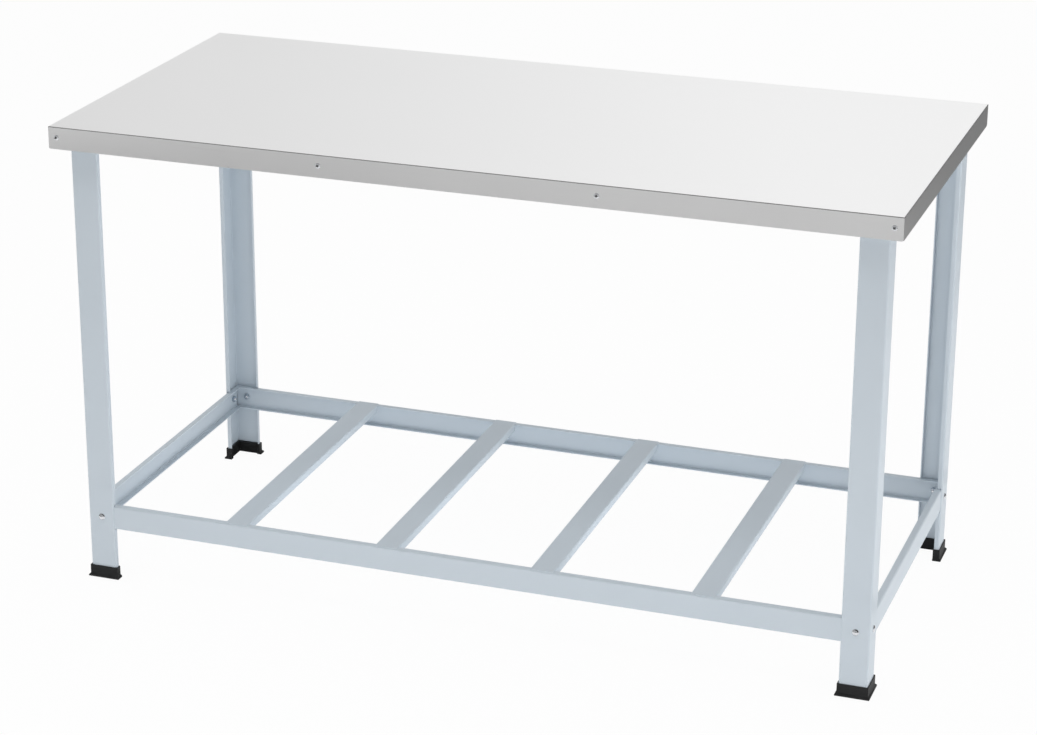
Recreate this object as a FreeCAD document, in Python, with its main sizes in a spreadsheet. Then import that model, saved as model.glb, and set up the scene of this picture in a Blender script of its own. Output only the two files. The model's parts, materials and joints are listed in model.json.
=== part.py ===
"""A stainless steel work table on four angle legs, with an open shelf of slats near the floor.

Frame: +X along the table to the right, +Y from the front to the rear, +Z up.
The origin is on the floor, under the middle of the table. Lengths are in millimetres.
"""
import FreeCAD, Part
import math
import os
import re

import Sketcher

doc = FreeCAD.newDocument("work_table")

# Driving sizes

SIZES = [
    ("top_length", 1500, "work surface from end to end"),
    ("top_depth", 700, "work surface from front to rear"),
    ("table_height", 860, "floor to work surface"),
    ("skirt_height", 40, "folded edge of the top, seen from the front"),
    ("top_sheet", 1, "thickness of the stainless sheet"),
    ("fold_bend", 0.5, "inner radius of the fold along the work surface"),
    ("flap_radius", 3, "rounding of the skirt's lower corners"),
    ("corner_gap", 0.6, "open seam between two skirt flaps"),
    ("core_thickness", 36, "board inside the top"),
    ("core_gap", 0.3, "room between the board's edges and the skirt"),
    ("leg_inset_x", 26, "end of the top to the leg's outer face"),
    ("leg_inset_y", 29, "front of the top to the leg's outer face"),
    ("leg_flange", 50, "width of each face of a leg"),
    ("leg_lip", 9, "depth of the lip at each free edge of a leg"),
    ("leg_sheet", 2, "thickness of a leg"),
    ("leg_bend", 1.5, "inner radius of a leg's bends"),
    ("notch_gap", 2, "room above and below a rail in the lip's notch"),
    ("plate_width", 70, "side of the square plate on a leg's head"),
    ("plate_thickness", 3, "thickness of that plate"),
    ("plate_corner", 4, "rounding of the plate's corners"),
    ("plate_screw_inset", 12, "plate's edge to the screws"),
    ("rail_floor", 98, "floor to the underside of the rails"),
    ("rail_height", 44, "height of a rail's web"),
    ("rail_flange", 12.5, "depth of a rail's two flanges"),
    ("rail_sheet", 1.5, "thickness of a rail"),
    ("rail_bend", 1.5, "inner radius of a rail's bends"),
    ("rail_gap", 1, "room around a rail's ends in the leg's corner"),
    ("slat_width", 43.5, "width of a slat"),
    ("slat_depth", 14, "depth of a slat's folded sides"),
    ("slat_sheet", 1.2, "thickness of a slat"),
    ("slat_bend", 1.2, "inner radius of a slat's bends"),
    ("slat_pitch", 289, "middle of one slat to the middle of the next"),
    ("slat_setback", 2.5, "rail's outer face to a slat's end"),
    ("slat_gap", 0.6, "room between a slat's sides and the rail's flange"),
    ("shoe_height", 22, "floor to the rim of a shoe"),
    ("shoe_floor", 4, "thickness under the leg's end"),
    ("shoe_wall", 2, "wall outside the leg"),
    ("shoe_inner", 7, "leg's outer face to the shoe's inner face"),
    ("shoe_lip_wall", 1.4, "wall inside a leg's lips"),
    ("shoe_fit", 0.2, "room between a shoe and its leg"),
    ("shoe_spread", 3, "how far the shoe's base stands out past its walls"),
    ("shoe_base", 2.5, "thickness of the shoe's base"),
    ("shoe_flare", 3, "height of the slope from the base to the walls"),
    ("bolt_inset", 25, "leg's outer face to the bolts in the other face"),
    ("bolt_size", 6, "shank of the frame bolts"),
    ("bolt_head", 12.5, "width of a bolt's round head"),
    ("bolt_dome", 3.6, "height of a bolt's round head"),
    ("bolt_end", 2, "bolt thread past the nut"),
    ("nut_across", 10, "width of a nut across its flats"),
    ("nut_height", 5, "height of a nut"),
    ("thread_fit", 0.1, "room in a threaded or screwed bore, across"),
    ("bolt_fit", 0.5, "room in the bolt holes, across"),
    ("screw_size", 4, "shank of the wood screws"),
    ("screw_length", 20, "shank of the wood screws, under the head"),
    ("screw_head", 9.5, "width of a screw's round head"),
    ("screw_dome", 2.4, "height of a screw's round head"),
    ("skirt_screw_drop", 19, "work surface to the skirt screws"),
    ("skirt_screw_inset", 15, "end of the top to the first skirt screw"),
]
SLAT_COUNT = 4
SKIRT_SCREW_COUNT = 4

sheet = doc.addObject("Spreadsheet::Sheet", "Sizes")
for row, (alias, millimetres, meaning) in enumerate(SIZES, 1):
    sheet.set("A%d" % row, meaning)
    sheet.set("B%d" % row, str(millimetres))
    sheet.setAlias("B%d" % row, alias)
doc.recompute()

# Formulas that several pieces share, in words of the sheet

LEG_X = "(top_length / 2 - leg_inset_x)"
LEG_Y = "(top_depth / 2 - leg_inset_y)"
CORE_FLOOR = "(table_height - top_sheet - core_thickness)"
FOLD = "(fold_bend + top_sheet)"
LEG_LENGTH = "(%s - plate_thickness - shoe_floor)" % CORE_FLOOR
RAIL_TOP = "(rail_floor + rail_height)"
BOLT_Z = "(rail_floor + rail_height / 2)"
RAIL_END = "(leg_sheet + max(leg_bend; rail_sheet) + rail_gap)"
PLATE_FAR = "(plate_width - plate_screw_inset)"
SHOE_OUT = "(shoe_fit + shoe_wall + shoe_spread)"
SCREW_PITCH = "((top_length - 2 * skirt_screw_inset) / %d)" % (SKIRT_SCREW_COUNT - 1)

# Corners of the table: name, side in X, side in Y, and the turn that brings a leg there
CORNERS = [
    ("front_left", -1, -1, 0),
    ("front_right", 1, -1, 90),
    ("rear_right", 1, 1, 180),
    ("rear_left", -1, 1, 270),
]

# Where the three screws sit in a leg's head plate, from the leg's corner
PLATE_SPOTS = [
    (PLATE_FAR, "plate_screw_inset"),
    ("plate_screw_inset", PLATE_FAR),
    (PLATE_FAR, PLATE_FAR),
]

TINY = 1e-6  # places closer than this are the same place
ALIAS = re.compile(r"\b(%s)\b" % "|".join(alias for alias, _, _ in SIZES))
UP = FreeCAD.Vector(0, 0, 1)
nodes = []


def formula(words):
    """Turn words of the sheet into an expression that names the sheet."""
    return ALIAS.sub(r"Sizes.\1", words)


def value(words):
    """Work out a formula as a number of millimetres."""
    return float(sheet.evalExpression(formula(words)))


def tie(thing, **formulas):
    """Bind an object's properties to formulas of the sheet."""
    for name, words in formulas.items():
        thing.setExpression(name, formula(words))


def move(thing, x, y, z, axis=UP, angle=0):
    """Give an object its place, bound to the sheet, and its turn."""
    thing.Placement.Rotation = FreeCAD.Rotation(axis, angle)
    for name, words in zip("xyz", (x, y, z)):
        thing.setExpression("Placement.Base." + name, formula(words))


def same(*numbers):
    """Whether some lengths are all alike."""
    return max(numbers) - min(numbers) < TINY


def keep(thing, name):
    """Make an object one of the table's pieces."""
    thing.Label = name
    nodes.append(thing)


# Plain solids, used by themselves and to cut with


def block(name, size, place):
    """A box with formulas for its three sizes and its lowest corner."""
    box = doc.addObject("Part::Box", name)
    tie(box, Length=size[0], Width=size[1], Height=size[2])
    move(box, *place)
    return box


def rod(name, across, height, place, towards=UP):
    """A round bar from a place, pointing towards a direction."""
    bar = doc.addObject("Part::Cylinder", name)
    tie(bar, Radius="(%s) / 2" % across, Height=height)
    turn = FreeCAD.Rotation(UP, towards)
    move(bar, *place, turn.Axis, math.degrees(turn.Angle))
    return bar


def cut(name, base, tools):
    """Take tools away from a solid."""
    tool = tools[0]
    if len(tools) > 1:
        tool = doc.addObject("Part::MultiFuse", name + "_tools")
        tool.Shapes = tools
    result = doc.addObject("Part::Cut", name)
    result.Base = base
    result.Tool = tool
    return result


def edges_of(shape, wanted):
    """Names of the straight edges whose two ends pass a test."""
    names = []
    for number, edge in enumerate(shape.Edges, 1):
        if edge.Curve.TypeId != "Part::GeomLine":
            continue
        start, end = edge.Vertexes[0].Point, edge.Vertexes[-1].Point
        if wanted(start, end):
            names.append((number, "Edge%d" % number))
    return names


def rounded(name, base, radius, wanted):
    """Round the edges of a plain solid that pass a test."""
    doc.recompute()
    result = doc.addObject("Part::Fillet", name)
    result.Base = base
    size = value(radius)
    result.Edges = [(number, size, size) for number, _ in edges_of(base.Shape, wanted)]
    return result


# Bent sheet: an outline drawn once, pulled to its length, with its bends rounded


def profile(name, plane, corners, length):
    """A body with an outline whose every corner is bound to the sheet, and its length."""
    body = doc.addObject("PartDesign::Body", name + "_body")
    sketch = body.newObject("Sketcher::SketchObject", name + "_outline")
    origin = [item for item in body.Origin.OriginFeatures if item.Role == plane]
    sketch.AttachmentSupport = [(origin[0], "")]
    sketch.MapMode = "FlatFace"
    points = [FreeCAD.Vector(value(x), value(y), 0) for x, y in corners]
    count = len(points)
    for i in range(count):
        sketch.addGeometry(Part.LineSegment(points[i], points[(i + 1) % count]), False)
    for i in range(count):
        sketch.addConstraint(Sketcher.Constraint("Coincident", i, 2, (i + 1) % count, 1))
    for i, corner in enumerate(corners):
        for way, words, zero_line in zip("XY", corner, (-2, -1)):
            if words == "0":
                sketch.addConstraint(Sketcher.Constraint("PointOnObject", i, 1, zero_line))
                continue
            rule = Sketcher.Constraint("Distance" + way, -1, 1, i, 1, value(words))
            label = "corner_%d_%s" % (i, way.lower())
            sketch.renameConstraint(sketch.addConstraint(rule), label)
            sketch.setExpression("Constraints." + label, formula(words))
    pull = body.newObject("PartDesign::Pad", name + "_pull")
    pull.Profile = sketch
    tie(pull, Length=length)
    return body, pull


def bend(body, name, base, radius, run, places):
    """Round the long edges at some corners of the outline; run is the axis that they follow."""
    doc.recompute()
    spots = [tuple(value(words) for words in place) for place in places]
    first, second = [axis for axis in range(3) if axis != run]

    def at_a_corner(start, end):
        return any(same(start[first], end[first], spot[0]) and same(start[second], end[second], spot[1])
                   for spot in spots)

    fold = body.newObject("PartDesign::Fillet", name)
    fold.Base = (base, [edge for _, edge in edges_of(base.Shape, at_a_corner)])
    tie(fold, Radius=radius)
    return fold


def channel(name, plane, run, length, width, depth, thickness, bend_radius, upright):
    """A bent channel: a web and two flanges, with the web upright or on top."""
    if upright:
        corners = [
            ("0", "0"), (depth, "0"), (depth, thickness), (thickness, thickness),
            (thickness, "%s - %s" % (width, thickness)), (depth, "%s - %s" % (width, thickness)),
            (depth, width), ("0", width),
        ]
        outside, inside = [corners[0], corners[7]], [corners[3], corners[4]]
    else:
        under = "%s - %s" % (depth, thickness)
        corners = [
            ("0", "0"), (thickness, "0"), (thickness, under), ("%s - %s" % (width, thickness), under),
            ("%s - %s" % (width, thickness), "0"), (width, "0"), (width, depth), ("0", depth),
        ]
        outside, inside = [corners[6], corners[7]], [corners[2], corners[3]]
    body, pull = profile(name, plane, corners, length)
    inner = bend(body, name + "_inner_bends", pull, bend_radius, run, inside)
    outer = bend(body, name + "_outer_bends", inner, "%s + %s" % (bend_radius, thickness), run, outside)
    body.Tip = outer
    return body


# Fasteners: one master of each kind, and linked copies where they go


def dome_fastener(name, size, reach, head, dome):
    """A round-head bolt or screw. Its head stands on z = 0 and its shank goes up from there."""
    ball = doc.addObject("Part::Sphere", name + "_ball")
    radius = "((%s * %s / 4 + %s * %s) / (2 * %s))" % (head, head, dome, dome, dome)
    tie(ball, Radius=radius)
    move(ball, "0", "0", "%s - %s" % (radius, dome))
    blank = rod(name + "_blank", head, dome, ("0", "0", "-" + dome))
    cap = doc.addObject("Part::Common", name + "_cap")
    cap.Base = blank
    cap.Tool = ball
    result = doc.addObject("Part::Fuse", name)
    result.Base = cap
    result.Tool = rod(name + "_shank", size, reach, ("0", "0", "0"))
    return result


def copies(name, master, spots):
    """A group of separate copies of a fastener, each with its place and its direction."""
    links = []
    for number, (x, y, z, towards) in enumerate(spots):
        link = doc.addObject("App::Link", "%s_%d" % (name, number))
        link.LinkedObject = master
        turn = FreeCAD.Rotation(UP, FreeCAD.Vector(*towards))
        move(link, x, y, z, turn.Axis, math.degrees(turn.Angle))
        links.append(link)
    group = doc.addObject("Part::Compound", name)
    group.Links = links
    keep(group, name)


def frame_bolt_spots(depth):
    """Two bolts at each leg, through its two faces; depth is measured inward from the face."""
    spots = []
    for _, side_x, side_y, _ in CORNERS:
        along_x = "%d * (%s - bolt_inset)" % (side_x, LEG_X)
        along_y = "%d * (%s - bolt_inset)" % (side_y, LEG_Y)
        spots.append((along_x, "%d * (%s - %s)" % (side_y, LEG_Y, depth), BOLT_Z, (0, -side_y, 0)))
        spots.append(("%d * (%s - %s)" % (side_x, LEG_X, depth), along_y, BOLT_Z, (-side_x, 0, 0)))
    return spots


def skirt_screw_spots():
    """A row of screws through the front skirt and the same through the rear skirt."""
    spots = []
    for side in (-1, 1):
        for number in range(SKIRT_SCREW_COUNT):
            along = "skirt_screw_inset - top_length / 2 + %d * %s" % (number, SCREW_PITCH)
            face = "%d * top_depth / 2" % side
            spots.append((along, face, "table_height - skirt_screw_drop", (0, -side, 0)))
    return spots


def plate_screw_spots():
    """Three screws in each leg's head plate, clear of the leg."""
    spots = []
    for _, side_x, side_y, _ in CORNERS:
        for in_x, in_y in PLATE_SPOTS:
            x = "%d * (%s - %s)" % (side_x, LEG_X, in_x)
            y = "%d * (%s - %s)" % (side_y, LEG_Y, in_y)
            spots.append((x, y, CORE_FLOOR + " - plate_thickness", (0, 0, 1)))
    return spots


def bores(name, spots, across, depth):
    """Round bores at a group of fasteners, to cut with."""
    return [rod("%s_%d" % (name, number), across, depth, spot[:3], FreeCAD.Vector(*spot[3]))
            for number, spot in enumerate(spots)]


# The top


def along_top(start, end):
    """The edges around the upper face of a board that lies flat."""
    return same(start.z, end.z) and start.z > value("table_height - skirt_height / 2")


def make_top_sheet():
    """The folded sheet: a shallow tray upside down, open at the seams of its four corners."""
    outside = block("sheet_outside", ("top_length", "top_depth", "skirt_height"),
                    ("-top_length / 2", "-top_depth / 2", "table_height - skirt_height"))
    folded = rounded("sheet_folded", outside, FOLD, along_top)
    hollow = block("sheet_hollow",
                   ("top_length - 2 * top_sheet", "top_depth - 2 * top_sheet", "skirt_height"),
                   ("top_sheet - top_length / 2", "top_sheet - top_depth / 2",
                    "table_height - skirt_height - top_sheet"))
    room = rounded("sheet_room", hollow, "fold_bend", along_top)
    seams = []
    for name, side_x, side_y, _ in CORNERS:
        x = "-top_length / 2 - top_sheet" if side_x < 0 else "top_length / 2 - 2 * top_sheet"
        y = "top_sheet - top_depth / 2" if side_y < 0 else "top_depth / 2 - top_sheet - corner_gap"
        seams.append(block("seam_" + name, ("3 * top_sheet", "corner_gap", "skirt_height - " + FOLD),
                           (x, y, "table_height - skirt_height")))
    holes = bores("skirt_hole", skirt_screw_spots(), "screw_size + bolt_fit", "2 * top_sheet")
    tray = cut("sheet_tray", folded, [room] + seams + holes)
    floor = value("table_height - skirt_height")

    long_end = value("top_length / 2")
    short_end = value("top_depth / 2 - top_sheet - corner_gap")

    def flap_corner(start, end):
        at_bottom = same(start.z, end.z, floor)
        long_flap = same(abs(start.x), abs(end.x), long_end)
        end_flap = same(abs(start.y), abs(end.y), short_end)
        through = (end - start).Length < value("2 * top_sheet")
        return at_bottom and through and (long_flap or end_flap)

    keep(rounded("top_sheet_folded", tray, "flap_radius", flap_corner), "top_sheet")


def make_top_core():
    """The board that stiffens the sheet and holds every screw."""
    inset = "(top_sheet + core_gap)"
    board = block("core_board",
                  ("top_length - 2 * " + inset, "top_depth - 2 * " + inset, "core_thickness"),
                  (inset + " - top_length / 2", inset + " - top_depth / 2", CORE_FLOOR))
    eased = rounded("core_eased", board, "fold_bend", along_top)
    across, depth = "screw_size + thread_fit", "screw_length + thread_fit"
    holes = bores("core_skirt_hole", skirt_screw_spots(), across, depth)
    holes += bores("core_plate_hole", plate_screw_spots(), across, depth)
    keep(cut("core_bored", eased, holes), "top_core")


# The legs and what is on their ends


def lipped_angle(near, far, inner, lip_end, lip_back):
    """The ten corners of an L with equal arms and a lip at each end, from its outer corner."""
    return [
        (near, near), (far, near), (far, lip_end), (lip_back, lip_end), (lip_back, inner),
        (inner, inner), (inner, lip_back), (lip_end, lip_back), (lip_end, far), (near, far),
    ]


def make_leg(place, side_x, side_y, turn):
    """A leg: an angle with a lip at each free edge, notched where the rails pass."""
    name = "leg_" + place
    corners = lipped_angle("0", "leg_flange", "leg_sheet", "leg_lip", "leg_flange - leg_sheet")
    body, pull = profile(name, "XY_Plane", corners, LEG_LENGTH)
    inside = bend(body, name + "_inner_bends", pull, "leg_bend", 2, [corners[4], corners[5], corners[6]])
    body.Tip = bend(body, name + "_outer_bends", inside, "leg_bend + leg_sheet", 2,
                    [corners[0], corners[1], corners[9]])

    notch_floor = "rail_floor - notch_gap - shoe_floor"
    notch_height = "rail_height + 2 * notch_gap"
    deep = "leg_sheet + leg_bend + notch_gap"
    long_side = "leg_lip + rail_flange"
    start = "leg_flange - leg_sheet - leg_bend"
    hole_z = BOLT_Z + " - shoe_floor"
    tools = [
        block(name + "_notch_x", (deep, long_side, notch_height), (start, "leg_sheet", notch_floor)),
        block(name + "_notch_y", (long_side, deep, notch_height), ("leg_sheet", start, notch_floor)),
        rod(name + "_hole_x", "bolt_size + bolt_fit", "2 * leg_sheet",
            ("bolt_inset", "-leg_sheet / 2", hole_z), FreeCAD.Vector(0, 1, 0)),
        rod(name + "_hole_y", "bolt_size + bolt_fit", "2 * leg_sheet",
            ("-leg_sheet / 2", "bolt_inset", hole_z), FreeCAD.Vector(1, 0, 0)),
    ]
    leg = cut(name, body, tools)
    move(leg, "%d * %s" % (side_x, LEG_X), "%d * %s" % (side_y, LEG_Y), "shoe_floor", UP, turn)
    keep(leg, name)


def make_leg_plate(place, side_x, side_y, turn):
    """The square plate on a leg's head, with holes for three screws."""
    name = "leg_plate_" + place
    blank = block(name + "_blank", ("plate_width", "plate_width", "plate_thickness"), ("0", "0", "0"))
    eased = rounded(name + "_eased", blank, "plate_corner", lambda start, end: not same(start.z, end.z))
    holes = [rod("%s_hole_%d" % (name, number), "screw_size + bolt_fit", "2 * plate_thickness",
                 (x, y, "-plate_thickness / 2")) for number, (x, y) in enumerate(PLATE_SPOTS)]
    plate = cut(name, eased, holes)
    move(plate, "%d * %s" % (side_x, LEG_X), "%d * %s" % (side_y, LEG_Y),
         CORE_FLOOR + " - plate_thickness", UP, turn)
    keep(plate, name)


def make_shoe(place, side_x, side_y, turn):
    """A plastic shoe: a spread base, a sloping skirt and a socket that follows the leg."""
    name = "shoe_" + place
    out, fit = SHOE_OUT, "shoe_fit"
    far = "(%s + leg_flange + %s)" % (out, out)
    inner = "(%s + shoe_inner)" % out
    lip_end = "(%s + leg_lip + %s)" % (out, fit)
    lip_back = "(%s + leg_flange - leg_sheet - %s)" % (out, fit)
    inside = (inner, lip_end + " + shoe_lip_wall", lip_back + " - shoe_lip_wall")
    spread = lipped_angle("0", far, *inside)
    base, _ = profile(name + "_base", "XY_Plane", spread, "shoe_base")

    wall_near = "shoe_spread"
    wall_far = "%s - shoe_spread" % far
    upright_outline = lipped_angle(wall_near, wall_far, *inside)
    wall, pull = profile(name + "_wall", "XY_Plane", upright_outline, "shoe_height")
    upright = [(wall_near, wall_near), (wall_far, wall_near), (wall_near, wall_far)]
    wall.Tip = bend(wall, name + "_wall_corners", pull, "shoe_wall / 2", 2, upright)

    low, _ = profile(name + "_flare", "XY_Plane", spread, "shoe_base + shoe_flare")
    doc.recompute()
    top_of_flare = value("shoe_base + shoe_flare")
    far_side = value(far)

    def outer_rim(start, end):
        level = same(start.z, end.z, top_of_flare)
        sides = [(start[axis], end[axis], side) for axis in (0, 1) for side in (0, far_side)]
        return level and any(same(*side) for side in sides)

    slope = doc.addObject("Part::Chamfer", name + "_slope")
    slope.Base = low
    rise, run = value("shoe_flare"), value("shoe_spread")
    slope.Edges = [(number, rise, run) for number, _ in edges_of(low.Shape, outer_rim)]

    solid = doc.addObject("Part::MultiFuse", name + "_solid")
    solid.Shapes = [base, wall, slope]

    slot_near = "%s - %s" % (out, fit)
    slot_far = "%s + leg_flange + %s" % (out, fit)
    slot_inner = "%s + leg_sheet + %s" % (out, fit)
    slot_outline = lipped_angle(slot_near, slot_far, slot_inner, lip_end, lip_back)
    slot, slot_pull = profile(name + "_slot", "XY_Plane", slot_outline, "shoe_height")
    slot.Tip = bend(slot, name + "_slot_bends", slot_pull, "leg_bend", 2, slot_outline[4:7])
    move(slot, "0", "0", "shoe_floor")
    shoe = cut(name, solid, [slot])
    move(shoe, "%d * (%s + %s)" % (side_x, LEG_X, out), "%d * (%s + %s)" % (side_y, LEG_Y, out),
         "0", UP, turn)
    keep(shoe, name)


# The lower frame and its shelf


def rail_blank(name, length):
    """A rail's channel, and the bores for the bolt at each of its ends."""
    body = channel(name, "YZ_Plane", 0, length, "rail_height", "rail_flange", "rail_sheet", "rail_bend", True)
    first = "(bolt_inset - %s)" % RAIL_END
    holes = [rod("%s_hole_%d" % (name, number), "bolt_size + bolt_fit", "2 * rail_sheet",
                 (x, "-rail_sheet / 2", "rail_height / 2"), FreeCAD.Vector(0, 1, 0))
             for number, x in enumerate((first, "%s - %s" % (length, first)))]
    return body, holes


def make_long_rail(place, side):
    """The front or rear rail: a channel that opens inward, bolted to a leg at each end."""
    name = "rail_" + place
    length = "(2 * (%s - %s))" % (LEG_X, RAIL_END)
    body, holes = rail_blank(name, length)
    rail = cut(name, body, holes)
    move(rail, "%d * %s / 2" % (side, length), "%d * (%s - leg_sheet)" % (side, LEG_Y), "rail_floor",
         UP, 0 if side < 0 else 180)
    keep(rail, name)


def make_side_rail(place, side):
    """The left or right rail: the same channel, its flanges cut back to clear the long rails."""
    name = "rail_" + place
    length = "(2 * (%s - %s))" % (LEG_Y, RAIL_END)
    body, holes = rail_blank(name, length)
    cope = "(leg_sheet + rail_flange + rail_gap - %s)" % RAIL_END
    copes = [block("%s_cope_%d" % (name, number),
                   (cope + " + rail_gap", "rail_flange", "2 * rail_height"),
                   (start, "rail_sheet", "-rail_height / 2"))
             for number, start in enumerate(("-rail_gap", "%s - %s" % (length, cope)))]
    rail = cut(name, body, holes + copes)
    move(rail, "%d * (%s - leg_sheet)" % (side, LEG_X), "%d * %s / 2" % (-side, length), "rail_floor",
         UP, 90 if side > 0 else -90)
    keep(rail, name)


def make_slat(number):
    """A slat: a shallow channel, its top laid on the rails and its sides stopped between them."""
    name = "slat_%d" % (number + 1)
    reach = "(%s - leg_sheet - slat_setback)" % LEG_Y
    sides_reach = "(%s - leg_sheet - rail_flange - slat_gap)" % LEG_Y
    length = "(2 * %s)" % reach
    body = channel(name, "XZ_Plane", 1, length, "slat_width", "slat_depth", "slat_sheet", "slat_bend", False)
    trim = "(%s - %s)" % (reach, sides_reach)
    tools = []
    for end, start in enumerate(("-%s - slat_gap" % length, "-%s" % trim)):
        tools.append(block("%s_trim_%d" % (name, end),
                           ("2 * slat_width", trim + " + slat_gap", "slat_depth - slat_sheet"),
                           ("-slat_width / 2", start, "0")))
    slat = cut(name, body, tools)
    middle = "%s * slat_pitch" % (number - (SLAT_COUNT - 1) / 2)
    move(slat, "%s - slat_width / 2" % middle, reach, RAIL_TOP + " + slat_sheet - slat_depth")
    keep(slat, name)


def make_fasteners():
    """Bolts and nuts of the lower frame, and the screws of the top."""
    grip = "(leg_sheet + rail_sheet)"
    reach = "(%s + nut_height + bolt_end)" % grip
    bolt = dome_fastener("frame_bolt", "bolt_size", reach, "bolt_head", "bolt_dome")
    copies("frame_bolts", bolt, frame_bolt_spots("0"))

    hexagon = doc.addObject("Part::Prism", "nut_hexagon")
    hexagon.Polygon = 6
    tie(hexagon, Circumradius="nut_across / sqrt(3)", Height="nut_height")
    bore = rod("nut_bore", "bolt_size + thread_fit", "2 * nut_height", ("0", "0", "-nut_height / 2"))
    copies("frame_nuts", cut("frame_nut", hexagon, [bore]), frame_bolt_spots(grip))

    screw = dome_fastener("wood_screw", "screw_size", "screw_length", "screw_head", "screw_dome")
    copies("skirt_screws", screw, skirt_screw_spots())
    copies("plate_screws", screw, plate_screw_spots())


make_top_sheet()
make_top_core()
for corner in CORNERS:
    make_leg(*corner)
    make_leg_plate(*corner)
    make_shoe(*corner)
make_long_rail("front", -1)
make_long_rail("rear", 1)
make_side_rail("left", -1)
make_side_rail("right", 1)
for slat_number in range(SLAT_COUNT):
    make_slat(slat_number)
make_fasteners()
doc.recompute()

# Every object must have come out whole before anything is written

for thing in doc.Objects:
    if "Invalid" in thing.State or "Error" in thing.State:
        raise RuntimeError("%s failed: %s" % (thing.Label, thing.State))
for node in nodes:
    if node.Shape.isNull() or not node.Shape.isValid():
        raise RuntimeError(node.Label + " has no valid shape")

os.makedirs("parts", exist_ok=True)
for node in nodes:
    node.Shape.exportStep(os.path.join("parts", node.Label + ".step"))
    box = node.Shape.BoundBox
    print("%-22s solids %2d volume %10.1f  x %8.1f %8.1f  y %7.1f %7.1f  z %6.1f %6.1f" % (
        node.Label, len(node.Shape.Solids), node.Shape.Volume,
        box.XMin, box.XMax, box.YMin, box.YMax, box.ZMin, box.ZMax))
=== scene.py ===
# %% [markdown]
# # A stainless steel work table, dressed in Blender
# The solids of the table were made in a CAD program and are the fixed frame of this lesson.
# Their shapes are right already, so most of them stay and only get a finish.
# The small metalware and the plastic shoes get finer shapes here.

# %% Load the frame
import json
import math

import bmesh
import bpy
from mathutils import Matrix, Vector


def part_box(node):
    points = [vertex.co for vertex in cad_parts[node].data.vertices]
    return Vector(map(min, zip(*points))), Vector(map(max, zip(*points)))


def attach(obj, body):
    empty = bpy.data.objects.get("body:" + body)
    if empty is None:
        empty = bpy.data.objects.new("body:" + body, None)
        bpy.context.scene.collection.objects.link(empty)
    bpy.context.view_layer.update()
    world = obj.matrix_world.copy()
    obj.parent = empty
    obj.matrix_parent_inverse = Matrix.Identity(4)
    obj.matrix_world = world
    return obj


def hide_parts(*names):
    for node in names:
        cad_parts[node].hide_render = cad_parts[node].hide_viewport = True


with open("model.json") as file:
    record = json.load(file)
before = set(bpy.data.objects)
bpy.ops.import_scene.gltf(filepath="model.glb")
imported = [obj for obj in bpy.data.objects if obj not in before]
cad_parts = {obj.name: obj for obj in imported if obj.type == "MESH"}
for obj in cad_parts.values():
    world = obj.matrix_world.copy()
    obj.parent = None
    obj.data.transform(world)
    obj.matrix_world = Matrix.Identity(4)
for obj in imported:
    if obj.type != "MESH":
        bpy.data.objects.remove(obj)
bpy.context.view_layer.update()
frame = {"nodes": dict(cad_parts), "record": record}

MM = 0.001
nodes = frame["nodes"]
print("pieces from CAD:", len(nodes))

# %% [markdown]
# ## The camera
# The photograph was solved for its lens and its place by fitting the table's straight edges.
# A camera set by eye would do for a first look, but no edge would then lie where the photograph has it.
# The photograph was cropped off centre, so the lens has a small shift.
# The camera looks down at the table from the front and a little from the right.

# %% Camera
PICTURE_WIDTH, PICTURE_HEIGHT = 1037, 735
FOCAL_PIXELS = 2871.77
AXIS_PIXEL = (492.20, 348.05)
TURN, TILT, ROLL = (math.radians(angle) for angle in (19.786, 20.435, 0.082))
DISTANCE = 5.17262
AIM_HEIGHT, AIM_RIGHT, AIM_UP = 0.45, -0.05651, -0.02406
SENSOR_MM = 36

backward = Vector((math.sin(TURN) * math.cos(TILT), -math.cos(TURN) * math.cos(TILT), math.sin(TILT)))
level = Vector((math.cos(TURN), math.sin(TURN), 0))
upward = backward.cross(level)
right = level * math.cos(ROLL) + upward * math.sin(ROLL)
upward = upward * math.cos(ROLL) - level * math.sin(ROLL)
aim = Vector((0, 0, AIM_HEIGHT)) + right * AIM_RIGHT + upward * AIM_UP

lens = bpy.data.cameras.new("camera")
lens.sensor_width = SENSOR_MM
lens.lens = SENSOR_MM * FOCAL_PIXELS / PICTURE_WIDTH
lens.shift_x = (PICTURE_WIDTH / 2 - AXIS_PIXEL[0]) / PICTURE_WIDTH
lens.shift_y = (AXIS_PIXEL[1] - PICTURE_HEIGHT / 2) / PICTURE_WIDTH
camera = bpy.data.objects.new("camera", lens)
turn = Matrix((right, upward, backward)).transposed().to_4x4()
camera.matrix_world = Matrix.Translation(aim + backward * DISTANCE) @ turn
bpy.context.scene.collection.objects.link(camera)
bpy.context.scene.camera = camera
bpy.context.scene.view_settings.view_transform = "Standard"
print("lens %.1f mm, camera at" % lens.lens, [round(n, 3) for n in camera.location])

# %% [markdown]
# ## Shader sums
# A finish is a small network of nodes, and most of its nodes are sums.
# Linking them one by one hides what is added to what.
# So a socket is wrapped in a class that knows plus, minus, times, more than and size without sign,
# and a sum reads like a sum.


# %% Wires
class Wire:
    """An output socket that can be used in Python sums."""

    def __init__(self, finish, socket):
        self.finish = finish
        self.socket = socket

    def sum(self, operation, first, second):
        return self.finish.node("ShaderNodeMath", {"operation": operation}, {0: first, 1: second})

    def __add__(self, other):
        return self.sum("ADD", self, other)

    def __sub__(self, other):
        return self.sum("SUBTRACT", self, other)

    def __rsub__(self, other):
        return self.sum("SUBTRACT", other, self)

    def __mul__(self, other):
        return self.sum("MULTIPLY", self, other)

    def __gt__(self, other):
        return self.sum("GREATER_THAN", self, other)

    def __abs__(self):
        return self.sum("ABSOLUTE", self, 0)

    __radd__ = __add__
    __rmul__ = __mul__


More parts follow.
